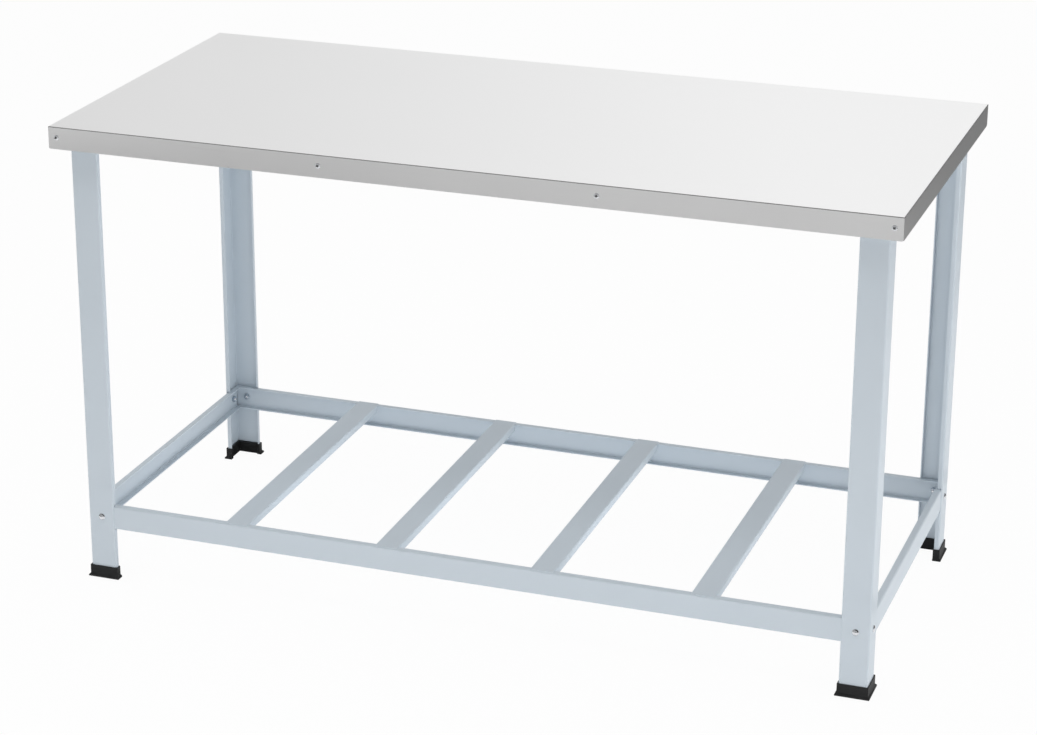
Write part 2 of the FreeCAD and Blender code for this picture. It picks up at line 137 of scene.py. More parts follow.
print("wires can be added, taken away, multiplied and compared")

# %% [markdown]
# ## Networks
# Every other node comes from one method: its type, its settings, and what goes into its sockets.
# Whole networks could be written out with it, but some nodes come back in almost every finish.
# Those have short names of their own below it, so that a finish stays a few lines long.


# %% Networks
class Finish:
    """A network of shader nodes in a material or in the world."""

    def __init__(self, owner):
        owner.use_nodes = True
        self.owner = owner
        self.tree = owner.node_tree
        self.tree.nodes.clear()

    def node(self, kind, settings, sockets, output=0):
        """Make a node: its settings come first, and then its sockets get values or links."""
        made = self.tree.nodes.new(kind)
        for name, value in settings.items():
            setattr(made, name, value)
        for name, value in sockets.items():
            if isinstance(value, Wire):
                self.tree.links.new(value.socket, made.inputs[name])
            else:
                made.inputs[name].default_value = value
        return Wire(self, made.outputs[output] if made.outputs else None)

    def place(self):
        """Where on the piece: in metres, as every piece sits at the origin."""
        return self.node("ShaderNodeTexCoord", {}, {}, "Object")

    def part(self, vector, axis):
        """One of the three numbers of a place or a direction."""
        return self.node("ShaderNodeSeparateXYZ", {}, {0: vector}, axis)

    def direction(self, vector):
        """The way that a vector points, one metre long."""
        return self.node("ShaderNodeVectorMath", {"operation": "NORMALIZE"}, {0: vector})

    def toward(self, vector, way):
        """How far a vector goes in a given way."""
        return self.node("ShaderNodeVectorMath", {"operation": "DOT_PRODUCT"}, {0: vector, 1: way}, "Value")

    def noise(self, vector, scale, detail):
        """Soft random patches around 0.5, about scale of them in a metre."""
        return self.node("ShaderNodeTexNoise", {}, {"Vector": vector, "Scale": scale, "Detail": detail})

    def mix(self, share, first, second):
        """One colour passing into another: inputs 6 and 7 and output 2 of a Mix node are its colours."""
        return self.node("ShaderNodeMix", {"data_type": "RGBA"}, {0: share, 6: first, 7: second}, 2)

    def fade(self, value, start, end, first=0, last=1, curve="LINEAR"):
        """A number that goes from first to last while the value goes from start to end."""
        span = {"From Min": start, "From Max": end, "To Min": first, "To Max": last}
        return self.node("ShaderNodeMapRange", {"interpolation_type": curve}, {"Value": value, **span})

    def bump(self, height, depth, strength):
        """Dents in the light; depth is the height of a full step in metres."""
        return self.node("ShaderNodeBump", {}, {"Height": height, "Distance": depth, "Strength": strength})

    def surface(self, **sockets):
        """Close the network with one shader; underscores in names stand for spaces."""
        named = {name.replace("_", " "): value for name, value in sockets.items()}
        shader = self.node("ShaderNodeBsdfPrincipled", {}, named)
        self.node("ShaderNodeOutputMaterial", {}, {"Surface": shader})
        return self.owner


def new_finish(name):
    return Finish(bpy.data.materials.new(name))


def grey(level):
    return (level, level, level, 1)


def tint(red, green, blue):
    return (red, green, blue, 1)


print("a finish can make:", [name for name in vars(Finish) if not name.startswith("_")])

# %% [markdown]
# ## Stainless sheet
# The top is rolled stainless sheet with a satin grain along its length.
# When the sheet is folded, the grain goes with it, so on the two end flaps it runs up and down.
# A picture of scratches would not follow the folds. Noise stretched along the grain does:
# the network asks which way the surface faces and turns the stretch on the end flaps.
# On the fold itself a thin dark line is painted into the sheet's colour: a painted dark reflection along the
# edge.

# %% Stainless finish
GRAIN_ALONG, GRAIN_ACROSS, GRAIN_SHADE = 6, 1500, 0.02
STREAK_ALONG, STREAK_ACROSS, STREAK_SHADE = 1.5, 160, 0.012
STEEL_CLOUDS, STEEL_CLOUD_SHADE = 5, 0.02
STEEL_SHADE = 0.5 - (GRAIN_SHADE + STREAK_SHADE + STEEL_CLOUD_SHADE) / 2
STEEL_DEEP, STEEL_PALE = grey(0.80), grey(1.0)
STEEL_ROUGHNESS, GRAIN_ROUGHNESS, STEEL_CLOUD_ROUGHNESS = 0.27, 0.06, 0.04
GRAIN_DEPTH, GRAIN_STRENGTH = 0.004 * MM, 0.5
# The facing along X is 1 on an end flap. Along Z it is 1 on the flat top and 0 on the skirt,
# and the fold lies between.
END_FLAP_FACING = 0.7
FOLD_START, FOLD_END = 0.87, 0.04
# A painted dark reflection: this dark colour is mixed into the sheet on the fold.
FOLD_PAINTED_REFLECTION_COLOUR, FOLD_PAINTED_REFLECTION_SHARE = grey(0.05), 0.7


def stretched_noise(finish, along, across, detail):
    """Noise on two numbers of the network's own, which are already stretched."""
    return finish.noise(finish.node("ShaderNodeCombineXYZ", {}, {"X": along, "Y": across}), 1, detail)


def make_stainless():
    steel = new_finish("stainless_sheet")
    facing = steel.node("ShaderNodeTexCoord", {}, {}, "Normal")
    end_flap = abs(steel.part(facing, "X")) > END_FLAP_FACING
    upright = abs(steel.part(facing, "Z"))
    fold = (upright > FOLD_END) - (upright > FOLD_START)
    x, y, z = (steel.part(steel.place(), axis) for axis in "XYZ")
    along = x * (1 - end_flap) + z * end_flap
    across = y + z * (1 - end_flap)
    grain = stretched_noise(steel, along * GRAIN_ALONG, across * GRAIN_ACROSS, detail=3)
    streak = stretched_noise(steel, along * STREAK_ALONG, across * STREAK_ACROSS, detail=2)
    cloud = steel.noise(steel.place(), STEEL_CLOUDS, detail=3)
    shade = STEEL_SHADE + grain * GRAIN_SHADE + streak * STREAK_SHADE + cloud * STEEL_CLOUD_SHADE
    sheet = steel.mix(shade, STEEL_DEEP, STEEL_PALE)
    # The fold's dark line is a painted reflection in the colour.
    colour = steel.mix(fold * FOLD_PAINTED_REFLECTION_SHARE, sheet, FOLD_PAINTED_REFLECTION_COLOUR)
    roughness = STEEL_ROUGHNESS + grain * GRAIN_ROUGHNESS + cloud * STEEL_CLOUD_ROUGHNESS
    return steel.surface(Base_Color=colour, Metallic=1.0, Roughness=roughness,
                         Normal=steel.bump(grain, GRAIN_DEPTH, GRAIN_STRENGTH))


stainless = make_stainless()
print("made", stainless.name)

# %% [markdown]
# ## Powder coat
# The legs, rails and slats are painted a pale blue-grey. Powder coat melts and flows in an oven,
# which leaves a faint orange peel about a millimetre across and a low gloss.
# A plain colour would look like card. Two noises are enough: a fine one for the peel, in the bump alone,
# and a broad one that shifts the colour and the gloss a little.

# %% Paint finish
PAINT_DEEP, PAINT_PALE = tint(0.548, 0.612, 0.669), tint(0.578, 0.640, 0.695)
PAINT_CLOUDS = 7
PAINT_ROUGHNESS, PAINT_CLOUD_ROUGHNESS = 0.40, 0.08
PEEL_DENTS, PEEL_DEPTH, PEEL_STRENGTH = 620, 0.03 * MM, 0.35


def make_paint():
    coat = new_finish("powder_coat")
    peel = coat.noise(coat.place(), PEEL_DENTS, detail=2)
    cloud = coat.noise(coat.place(), PAINT_CLOUDS, detail=3)
    return coat.surface(Base_Color=coat.mix(cloud, PAINT_DEEP, PAINT_PALE),
                        Roughness=PAINT_ROUGHNESS + cloud * PAINT_CLOUD_ROUGHNESS,
                        Normal=coat.bump(peel, PEEL_DEPTH, PEEL_STRENGTH))


paint = make_paint()
print("made", paint.name)

# %% [markdown]
# ## Zinc
# The screws and bolts are zinc plated: bright metal with a cloudy film. The nuts, which sit inside the rails,
# get a rougher zinc whose darker, bluer colour is painted shade of the rail and a painted reflection of its
# blue paint.
# A screw's recess is near black: partly dirt, which stays where no one polishes, and partly painted shade in
# the hollow.
# Three finishes could be written one by one. They differ only in tone and gloss, so one function makes them.

# %% Zinc finishes
ZINC_CLOUDS, ZINC_CLOUD_ROUGHNESS = 420, 0.12
PIT_DENTS, PIT_DEPTH, PIT_STRENGTH = 1500, 0.01 * MM, 0.4
BRIGHT_DEEP, BRIGHT_PALE, BRIGHT_ROUGHNESS = tint(0.61, 0.625, 0.65), tint(0.81, 0.825, 0.85), 0.08
# Nut zinc: darker and bluer, a painted shade of the rail's channel and a painted reflection of its blue
# paint.
NUT_PAINTED_SHADE_DEEP, NUT_PAINTED_SHADE_PALE, DULL_ROUGHNESS = tint(0.38, 0.44, 0.50), tint(0.54, 0.61, 0.68), 0.30
# Recess zinc: near black, partly dirt and partly painted shade in the hollow.
RECESS_DIRT_AND_SHADE_DEEP, RECESS_DIRT_AND_SHADE_PALE, RECESS_ROUGHNESS = tint(0.10, 0.10, 0.105), tint(0.20, 0.20, 0.205), 0.35


def make_zinc(name, deep, pale, roughness):
    """Plated steel: deep and pale are the two tones of its cloudy film, with painted shade in them for the
    nuts and recesses.
    """
    plate = new_finish(name)
    cloud = plate.noise(plate.place(), ZINC_CLOUDS, detail=3)
    pits = plate.noise(plate.place(), PIT_DENTS, detail=2)
    return plate.surface(Base_Color=plate.mix(cloud, deep, pale), Metallic=1.0,
                         Roughness=roughness + cloud * ZINC_CLOUD_ROUGHNESS,
                         Normal=plate.bump(pits, PIT_DEPTH, PIT_STRENGTH))


zinc = make_zinc("zinc_plate", BRIGHT_DEEP, BRIGHT_PALE, BRIGHT_ROUGHNESS)
nut_zinc_painted_shade = make_zinc("nut_zinc_plate_painted_shade", NUT_PAINTED_SHADE_DEEP, NUT_PAINTED_SHADE_PALE, DULL_ROUGHNESS)
recess_zinc_dirt_and_shade = make_zinc("zinc_in_recess_dirt_and_shade", RECESS_DIRT_AND_SHADE_DEEP, RECESS_DIRT_AND_SHADE_PALE, RECESS_ROUGHNESS)
print("made", [finish.name for finish in (zinc, nut_zinc_painted_shade, recess_zinc_dirt_and_shade)])

# %% [markdown]
# ## Plastic
# The shoes are moulded in black plastic with a fine spark-eroded grain, and are scuffed grey near the floor.
# The scuffs could be painted on by hand. Here they follow the height above the floor,
# so all four shoes get them, and a noise breaks them up.

# %% Plastic finish
PLASTIC_DEEP, PLASTIC_PALE = grey(0.012), tint(0.018, 0.019, 0.020)
PLASTIC_CLOUDS = 60
PLASTIC_ROUGHNESS, SPARK_ROUGHNESS, PLASTIC_SHINE = 0.44, 0.14, 0.25
SPARK_DENTS, SPARK_DEPTH, SPARK_STRENGTH = 1400, 0.03 * MM, 0.5
SCUFF_HEIGHT, SCUFF_COLOUR, SCUFF_SHARE = 4 * MM, grey(0.06), 0.5
SCUFF_START, SCUFF_FULL = 0.44, 0.66


def make_plastic():
    moulding = new_finish("black_plastic")
    spark = moulding.noise(moulding.place(), SPARK_DENTS, detail=2)
    cloud = moulding.noise(moulding.place(), PLASTIC_CLOUDS, detail=3)
    height = moulding.part(moulding.place(), "Z")
    low = moulding.fade(height, 0, SCUFF_HEIGHT, first=1, last=0, curve="SMOOTHSTEP")
    worn = moulding.fade(cloud, SCUFF_START, SCUFF_FULL, curve="SMOOTHSTEP")
    black = moulding.mix(cloud, PLASTIC_DEEP, PLASTIC_PALE)
    colour = moulding.mix(low * worn * SCUFF_SHARE, black, SCUFF_COLOUR)
    return moulding.surface(Base_Color=colour, Roughness=PLASTIC_ROUGHNESS + spark * SPARK_ROUGHNESS,
                            Specular_IOR_Level=PLASTIC_SHINE,
                            Normal=moulding.bump(spark, SPARK_DEPTH, SPARK_STRENGTH))


plastic = make_plastic()
print("made", plastic.name)

# %% [markdown]
# ## Faced board
# The board inside the top shows only from below. Its face is pale melamine, nearly plain, with fine pores.
# A wood texture would be wrong on it, so it gets faint clouds in its print and a bump for the pores.

# %% Board finish
BOARD_DEEP, BOARD_PALE = tint(0.70, 0.715, 0.72), tint(0.76, 0.77, 0.775)
BOARD_CLOUDS = 9
BOARD_ROUGHNESS, BOARD_CLOUD_ROUGHNESS = 0.42, 0.12
PORE_DENTS, PORE_DEPTH, PORE_STRENGTH = 900, 0.04 * MM, 0.5


def make_board():
    melamine = new_finish("faced_board")
    pores = melamine.noise(melamine.place(), PORE_DENTS, detail=3)
    cloud = melamine.noise(melamine.place(), BOARD_CLOUDS, detail=3)
    return melamine.surface(Base_Color=melamine.mix(cloud, BOARD_DEEP, BOARD_PALE),
                            Roughness=BOARD_ROUGHNESS + cloud * BOARD_CLOUD_ROUGHNESS,
                            Normal=melamine.bump(pores, PORE_DEPTH, PORE_STRENGTH))


board = make_board()
print("made", board.name)

# %% [markdown]
# ## Dress the CAD pieces
# Each CAD piece already names its slot in the record, so its finish is looked up from there.
# Finishes could be given piece by piece, but then a new leg or slat would be forgotten.

# %% Give each slot its finish
SLOT_FINISH = {"top_steel": stainless, "frame_paint": paint, "zinc_fastener": zinc,
               "black_plastic": plastic, "core_board": board}
for row in frame["record"]["subparts"]:
    piece = nodes[row["node"]]
    for holder in piece.material_slots:
        holder.material = SLOT_FINISH[row["material_slot"]]

# %% [markdown]
# ## Round shapes
# Bolts, screws and the chamfers of a nut are all round about one axis.
# In Blender they could be cylinders with bevels. Here an outline of radius and height is spun about Z,
# as a lathe spins its work, so a rim, a neck or a thread is one more place in the outline.

# %% A lathe
LATHE_STEPS, DOME_STEPS = 40, 10
LATHE_WELD = 0.001 * MM


def lathe(outline):
    """Spin an outline of (radius, height) places about Z into a closed shape."""
    shape = bmesh.new()
    corners = [shape.verts.new((radius, 0, height)) for radius, height in outline]
    sides = [shape.edges.new(pair) for pair in zip(corners, corners[1:])]
    bmesh.ops.spin(shape, geom=corners + sides, cent=(0, 0, 0), axis=(0, 0, 1),
                   angle=2 * math.pi, steps=LATHE_STEPS, use_merge=True)
    bmesh.ops.remove_doubles(shape, verts=shape.verts, dist=LATHE_WELD)
    bmesh.ops.recalc_face_normals(shape, faces=shape.faces)
    return shape


def domed_cap(width, height, rim):
    """The outline of a round head on its seat at 0, from its middle, at minus its height, out to its rim."""
    radius, rise = width / 2, height - rim
    ball = (radius ** 2 + rise ** 2) / (2 * rise)
    spread = math.asin(radius / ball)
    turns = [spread * step / DOME_STEPS for step in range(DOME_STEPS + 1)]
    return [(ball * math.sin(turn), ball - height - ball * math.cos(turn)) for turn in turns]


def ridges(crest, root, start, end, pitch):
    """The teeth of a thread along a shank, as rings."""
    count = int((end - start) / pitch)
    teeth = []
    for number in range(count):
        low = start + number * pitch
        teeth += [(root, low), (crest, low + pitch / 2)]
    return teeth + [(root, start + count * pitch)]


print("a lathe of", LATHE_STEPS, "steps")

# %% [markdown]
# ## Cutting
# A cross recess or a hexagon is not round. It could be built face by face into the spun shape,
# but a Boolean modifier cuts it as a punch does, and the cut faces keep the cutter's finish.
# The result is taken back as plain mesh, so nothing depends on the cutters afterwards.
# A cut leaves slivers, which are welded away.

# %% Carve
CUT_WELD = 0.01 * MM


def new_piece(name, shape, *finishes):
    """Turn a bmesh into an object at the origin."""
    mesh = bpy.data.meshes.new(name)
    shape.to_mesh(mesh)
    shape.free()
    for finish in finishes:
        mesh.materials.append(finish)
    thing = bpy.data.objects.new(name, mesh)
    bpy.context.scene.collection.objects.link(thing)
    return thing


def carve(shape, tools, operation, cut_finish):
    """Cut a bmesh with others, and give back the finished bmesh."""
    blank = new_piece("blank", shape, zinc)
    cutters = [new_piece("cutter", tool, cut_finish) for tool in tools]
    for cutter in cutters:
        change = blank.modifiers.new("cut", "BOOLEAN")
        change.operation = operation
        change.material_mode = "TRANSFER"
        change.object = cutter
    finished = bmesh.new()
    finished.from_object(blank, bpy.context.evaluated_depsgraph_get())
    for thing in [blank] + cutters:
        bpy.data.meshes.remove(thing.data)
    bmesh.ops.remove_doubles(finished, verts=finished.verts, dist=CUT_WELD)
    bmesh.ops.dissolve_degenerate(finished, edges=finished.edges, dist=CUT_WELD)
    bmesh.ops.recalc_face_normals(finished, faces=finished.faces)
    return finished


print("cuts are welded within %.2f mm" % (CUT_WELD / MM))

# %% [markdown]
# ## Copying
# One bolt is made and then copied to where the CAD bolts are, and so are the nut and the screw.
# Linked copies would be lighter, but one mesh for each group keeps it one piece, as it is in CAD.
# Each copy is turned further than the last one, because no one tightens every screw to the same angle.

# %% Copy and stand in
GOLDEN_TURN = math.radians(137.5)
SHARP_ANGLE = math.radians(32)
UP = Vector((0, 0, 1))


def copies(name, master, spots, *finishes):
    """One piece made of a copy at each spot, with +Z turned to the spot's direction."""
    mould = bpy.data.meshes.new("mould")
    master.to_mesh(mould)
    master.free()
    whole = bmesh.new()
    for number, (place, towards) in enumerate(spots):
        before = len(whole.verts)
        whole.from_mesh(mould)
        whole.verts.ensure_lookup_table()
        aimed = UP.rotation_difference(Vector(towards)).to_matrix().to_4x4()
        twist = Matrix.Rotation(number * GOLDEN_TURN, 4, "Z")
        move = Matrix.Translation(place) @ aimed @ twist
        bmesh.ops.transform(whole, verts=whole.verts[before:], matrix=move)
    bpy.data.meshes.remove(mould)
    return new_piece(name, whole, *finishes)


def stand_for(piece, node):
    """Let a finer piece take the place of a CAD node, with crisp corners and smooth rounds."""
    for face in piece.data.polygons:
        face.use_smooth = True
    piece.data.set_sharp_from_angle(angle=SHARP_ANGLE)
    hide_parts(node)
    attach(piece, "root")
    print(piece.name, "faces:", len(piece.data.polygons))


print("corners over %.0f degrees stay crisp" % math.degrees(SHARP_ANGLE))

# %% [markdown]
# ## Where the bolts go
# A round-head bolt goes through each face of a leg and the rail behind it: two at each corner.
# Their places could be typed in, but the legs' own boxes already say where the faces are,
# so bolts that are worked out from them always land on the legs.

# %% Bolt places
CORNERS = {"front_left": (-1, -1), "front_right": (1, -1), "rear_right": (1, 1), "rear_left": (-1, 1)}
BOLT_INSET = 25 * MM
rail_low, rail_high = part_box("rail_front")
bolt_height = (rail_low.z + rail_high.z) / 2


def outer_corner(node, side_x, side_y):
    """The upright edge of a corner piece that is furthest from the middle of the table."""
    low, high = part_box(node)
    return Vector((high.x if side_x > 0 else low.x, high.y if side_y > 0 else low.y, 0))


def frame_spots(depth):
    """Places and inward directions of the bolts; depth is measured inward from the leg's face."""
    spots = []
    for corner, (side_x, side_y) in CORNERS.items():
        edge = outer_corner("leg_" + corner, side_x, side_y)
        spots.append(((edge.x - side_x * BOLT_INSET, edge.y - side_y * depth, bolt_height), (0, -side_y, 0)))
        spots.append(((edge.x - side_x * depth, edge.y - side_y * BOLT_INSET, bolt_height), (-side_x, 0, 0)))
    return spots


print("bolts:", len(frame_spots(0)), "at %.1f mm above the floor" % (bolt_height / MM))

# %% [markdown]
# ## Frame bolts
# The head is a plain dome with a thin upright rim. The thread shows only past the nut, inside the rail.
# A true helix would cost many faces that no one sees there, so the thread is a row of rings on the lathe.

# %% Bolts
BOLT_HEAD, BOLT_DOME, BOLT_RIM, BOLT_SIZE = 12.5 * MM, 3.6 * MM, 0.5 * MM, 6 * MM
LEG_SHEET, RAIL_SHEET, NUT_HEIGHT, BOLT_END = 2 * MM, 1.5 * MM, 5 * MM, 2 * MM
GRIP = LEG_SHEET + RAIL_SHEET
THREAD_PITCH, THREAD_DEPTH = 1 * MM, 0.55 * MM


def bolt_shape():
    shank, end = BOLT_SIZE / 2, GRIP + NUT_HEIGHT + BOLT_END
    cap = domed_cap(BOLT_HEAD, BOLT_DOME, BOLT_RIM)
    neck = [(BOLT_HEAD / 2, 0), (shank, 0), (shank, GRIP - THREAD_DEPTH)]
    thread = ridges(shank, shank - THREAD_DEPTH, GRIP, end - THREAD_PITCH, THREAD_PITCH)
    tip = [(shank - 2 * THREAD_DEPTH, end), (0, end)]
    return lathe(cap + neck + thread + tip)


bolts = copies("round_head_bolts", bolt_shape(), frame_spots(0), zinc)
stand_for(bolts, "frame_bolts")

# %% [markdown]
# ## Nuts
# A nut is a hexagon bar, turned at both ends so that its corners are cut back in a shallow cone.
# A bevelled hexagon would have straight edges there, where a real nut has curved ones.
# So it is made the same way here: a ring with sloping ends is spun,
# and what it shares with a hexagon is kept.

# %% Nuts
NUT_ACROSS, NUT_BORE = 10 * MM, 6.1 * MM
NUT_SLOPE, BORE_SLOPE, NUT_FACE_MARGIN = 0.9 * MM, 0.5 * MM, 0.1 * MM


def nut_shape():
    corner = NUT_ACROSS / math.sqrt(3)
    flat, bore, top = NUT_ACROSS / 2 - NUT_FACE_MARGIN, NUT_BORE / 2, NUT_HEIGHT
    wide = corner + NUT_SLOPE
    ring = [(bore, BORE_SLOPE), (bore + BORE_SLOPE, 0), (flat, 0), (wide, NUT_SLOPE), (wide, top - NUT_SLOPE),
            (flat, top), (bore + BORE_SLOPE, top), (bore, top - BORE_SLOPE), (bore, BORE_SLOPE)]
    hexagon = bmesh.new()
    bmesh.ops.create_cone(hexagon, cap_ends=True, segments=6, radius1=corner, radius2=corner, depth=2 * top)
    return carve(lathe(ring), [hexagon], "INTERSECT", zinc)


# The nuts take the zinc with painted shade.
nuts = copies("hexagon_nuts", nut_shape(), frame_spots(GRIP), nut_zinc_painted_shade)
stand_for(nuts, "frame_nuts")

# %% [markdown]
# ## A screw
# Small round-head screws hold the skirt to the board, and hold the legs' head plates from below.
# Each has a cross recess. It could be a dark picture on the head, but that has no depth in close views,
# so two tapered bars are pushed into the head and cut away.

# %% The screw's shape
SCREW_HEAD, SCREW_DOME, SCREW_RIM = 9.5 * MM, 2.4 * MM, 0.35 * MM
SCREW_SIZE, SCREW_LENGTH, SCREW_POINT = 4 * MM, 20 * MM, 4 * MM
SCREW_PITCH, SCREW_THREAD = 1.6 * MM, 0.5 * MM
RECESS_SPAN, RECESS_WIDTH, RECESS_DEPTH = 8.4 * MM, 2.4 * MM, 1.8 * MM
RECESS_TAPER, WING_TAPER = 0.35, 0.7


def recess_bar(turned):
    """One tapered bar of the cross, standing where it bites into the head."""
    bar = bmesh.new()
    made = bmesh.ops.create_cube(bar, size=1)["verts"]
    bmesh.ops.scale(bar, verts=made, vec=(RECESS_SPAN, RECESS_WIDTH, 2 * RECESS_DEPTH))
    bmesh.ops.scale(bar, verts=[v for v in made if v.co.z > 0], vec=(RECESS_TAPER, WING_TAPER, 1))
    bmesh.ops.rotate(bar, verts=made, cent=(0, 0, 0), matrix=Matrix.Rotation(turned, 3, "Z"))
    bmesh.ops.translate(bar, verts=made, vec=(0, 0, -SCREW_DOME))
    return bar


def screw_shape():
    shank, root = SCREW_SIZE / 2, SCREW_SIZE / 2 - SCREW_THREAD
    cap = domed_cap(SCREW_HEAD, SCREW_DOME, SCREW_RIM)
    neck = [(SCREW_HEAD / 2, 0), (shank, 0), (shank, SCREW_PITCH)]
    thread = ridges(shank, root, 2 * SCREW_PITCH, SCREW_LENGTH - SCREW_POINT, SCREW_PITCH)
    blank = lathe(cap + neck + thread + [(0, SCREW_LENGTH)])
    # The recess faces take the zinc with dirt and painted shade.
    return carve(blank, [recess_bar(0), recess_bar(math.pi / 2)], "DIFFERENCE", recess_zinc_dirt_and_shade)


print("screw heads are %.1f mm wide" % (SCREW_HEAD / MM))

# %% [markdown]
# ## Rows of screws
# The skirt has a row in front and one behind, and each head plate has three screws.
# The rows could repeat the CAD model's numbers. Instead they start and end at the boxes of the CAD pieces.

# %% Screws in their places
SKIRT_SCREWS = 4
PLATE_INSET = 12 * MM


def skirt_spots():
    """Places and inward directions of the screws in the skirt."""
    low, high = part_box("skirt_screws")
    sheet_low, sheet_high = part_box("top_sheet")
    first, last = low.x + SCREW_HEAD / 2, high.x - SCREW_HEAD / 2
    spots = []
    for face, inward in ((sheet_low.y, 1), (sheet_high.y, -1)):
        for number in range(SKIRT_SCREWS):
            along = first + (last - first) * number / (SKIRT_SCREWS - 1)
            spots.append(((along, face, (low.z + high.z) / 2), (0, inward, 0)))
    return spots


def plate_spots():
    """Places and upward directions of the screws in the legs' head plates."""
    spots = []
    for corner, (side_x, side_y) in CORNERS.items():
        low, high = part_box("leg_plate_" + corner)
        edge = outer_corner("leg_plate_" + corner, side_x, side_y)
        far = high.x - low.x - PLATE_INSET
        for in_x, in_y in ((far, PLATE_INSET), (PLATE_INSET, far), (far, far)):
            spots.append(((edge.x - side_x * in_x, edge.y - side_y * in_y, low.z), (0, 0, 1)))
    return spots


skirt = copies("skirt_screws_cross_head", screw_shape(), skirt_spots(), zinc, recess_zinc_dirt_and_shade)
stand_for(skirt, "skirt_screws")
plate = copies("plate_screws_cross_head", screw_shape(), plate_spots(), zinc, recess_zinc_dirt_and_shade)
stand_for(plate, "plate_screws")

# %% [markdown]
# ## Shoes
# The shoes are injection moulded, so none of their outer edges is sharp.
# The CAD shoe has the right outline, so a copy of its mesh is welded and its flat faces are joined up again.
# Then every outer corner is bevelled to a small round. Inside corners stay crisp, and so does the joint
# where the sloping skirt meets the rounded walls: its edges run into each other and leave a bevel no room.

# %% Moulded shoes
SHOE_ROUND, SHOE_ROUND_STEPS = 0.5 * MM, 2
SHOE_BASE, SHOE_SLOPE = 2.5 * MM, 3 * MM
FLAT_ANGLE = math.radians(1)


def in_joint(edge):
    """Whether an edge lies in the level where the skirt meets the walls."""
    return all(abs(corner.co.z - SHOE_BASE - SHOE_SLOPE) < CUT_WELD for corner in edge.verts)


def shoe_shape(node):
    shape = bmesh.new()
    shape.from_mesh(nodes[node].data)
    bmesh.ops.remove_doubles(shape, verts=shape.verts, dist=CUT_WELD)
    bmesh.ops.dissolve_limit(shape, angle_limit=FLAT_ANGLE, verts=shape.verts, edges=shape.edges)
    corners = [edge for edge in shape.edges if edge.calc_face_angle_signed() > SHARP_ANGLE]
    bmesh.ops.bevel(shape, geom=[edge for edge in corners if not in_joint(edge)], offset=SHOE_ROUND,
                    affect="EDGES", segments=SHOE_ROUND_STEPS, profile=0.5, material=-1, clamp_overlap=True)
    return shape


for corner in CORNERS:
    shoe = new_piece("moulded_shoe_" + corner, shoe_shape("shoe_" + corner), plastic)
    stand_for(shoe, "shoe_" + corner)

# %% [markdown]
# ## Floor
# A product picture is taken on a pale sweep that runs out to white.
# The lamps could be turned up until the floor burns out, but then the table would burn out too.
# So the floor is white for the camera and for reflections, and pale grey to everything else, which sends
# a plain amount of light back up. Part of it stays an ordinary surface, which keeps the shadow.

# %% Floor
FLOOR_SIDE = 40
FLOOR_DEEP, FLOOR_PALE, FLOOR_CLOUDS = grey(0.89), grey(0.91), 3
FLOOR_SHADOW_SHARE = 0.05
FLOOR_GLOW = 0.20
WHITE = grey(1.0)


def rays(finish):
    """1 for a ray from the eye, from a reflection or through glass, and 0 for the soft light."""
    kinds = ("Is Camera Ray", "Is Glossy Ray", "Is Transmission Ray")
    camera_ray, glossy_ray, through_ray = (finish.node("ShaderNodeLightPath", {}, {}, kind) for kind in kinds)
    return (camera_ray + glossy_ray + through_ray) > 0


def make_floor_finish():
    pale = new_finish("pale_floor")
    dust = pale.noise(pale.place(), FLOOR_CLOUDS, detail=3)
    plain = pale.node("ShaderNodeBsdfDiffuse", {}, {"Color": pale.mix(dust, FLOOR_DEEP, FLOOR_PALE)})
    white = pale.node("ShaderNodeEmission", {}, {"Color": WHITE, "Strength": 1.0})
    seen = pale.node("ShaderNodeMixShader", {}, {0: FLOOR_SHADOW_SHARE, 1: white, 2: plain})
    glow = pale.node("ShaderNodeEmission", {}, {"Color": WHITE, "Strength": FLOOR_GLOW})
    soft = pale.node("ShaderNodeAddShader", {}, {0: plain, 1: glow})
    both = pale.node("ShaderNodeMixShader", {}, {0: rays(pale), 1: soft, 2: seen})
    pale.node("ShaderNodeOutputMaterial", {}, {"Surface": both})
    return pale.owner


plane = bmesh.new()
bmesh.ops.create_grid(plane, x_segments=1, y_segments=1, size=FLOOR_SIDE / 2)
floor = new_piece("floor", plane, make_floor_finish())
print("floor", FLOOR_SIDE, "m wide")

# %% [markdown]
# ## World
# The soft light of the studio comes from all round, and is strongest from behind and above.
# A picture of a studio could be wrapped round the scene, but four soft walls that pass into each other
# and a ceiling above them say the same with a handful of numbers.
# As on the floor, the eye and reflections see white.

# %% World
WALL_LIGHT = {(0, -1, 0): 0.30, (1, 0, 0): 0.35, (0, 1, 0): 0.75, (-1, 0, 0): 0.40}
OVERHEAD_LIGHT = 0.75
WALLS_END, OVERHEAD_START = 0.30, 0.80


def make_world():
    sky = Finish(bpy.data.worlds.new("studio"))
    way = sky.node("ShaderNodeTexCoord", {}, {}, "Generated")
    level_way = sky.node("ShaderNodeVectorMath", {"operation": "MULTIPLY"}, {0: way, 1: (1, 1, 0)})
    bearing = sky.direction(level_way)
    walls = 0
    for wall, light in WALL_LIGHT.items():
        lobe = sky.node("ShaderNodeMath", {"operation": "MAXIMUM"}, {0: sky.toward(bearing, wall), 1: 0})
        walls = lobe * lobe * light + walls
    rise = sky.fade(sky.part(way, "Z"), WALLS_END, OVERHEAD_START, curve="SMOOTHSTEP")
    level = walls * (1 - rise) + rise * OVERHEAD_LIGHT
    soft = sky.node("ShaderNodeBackground", {}, {"Color": level, "Strength": 1.0})
    white = sky.node("ShaderNodeBackground", {}, {"Color": WHITE, "Strength": 1.0})
    both = sky.node("ShaderNodeMixShader", {}, {0: rays(sky), 1: soft, 2: white})
    sky.node("ShaderNodeOutputWorld", {}, {"Surface": both})
    return sky.owner


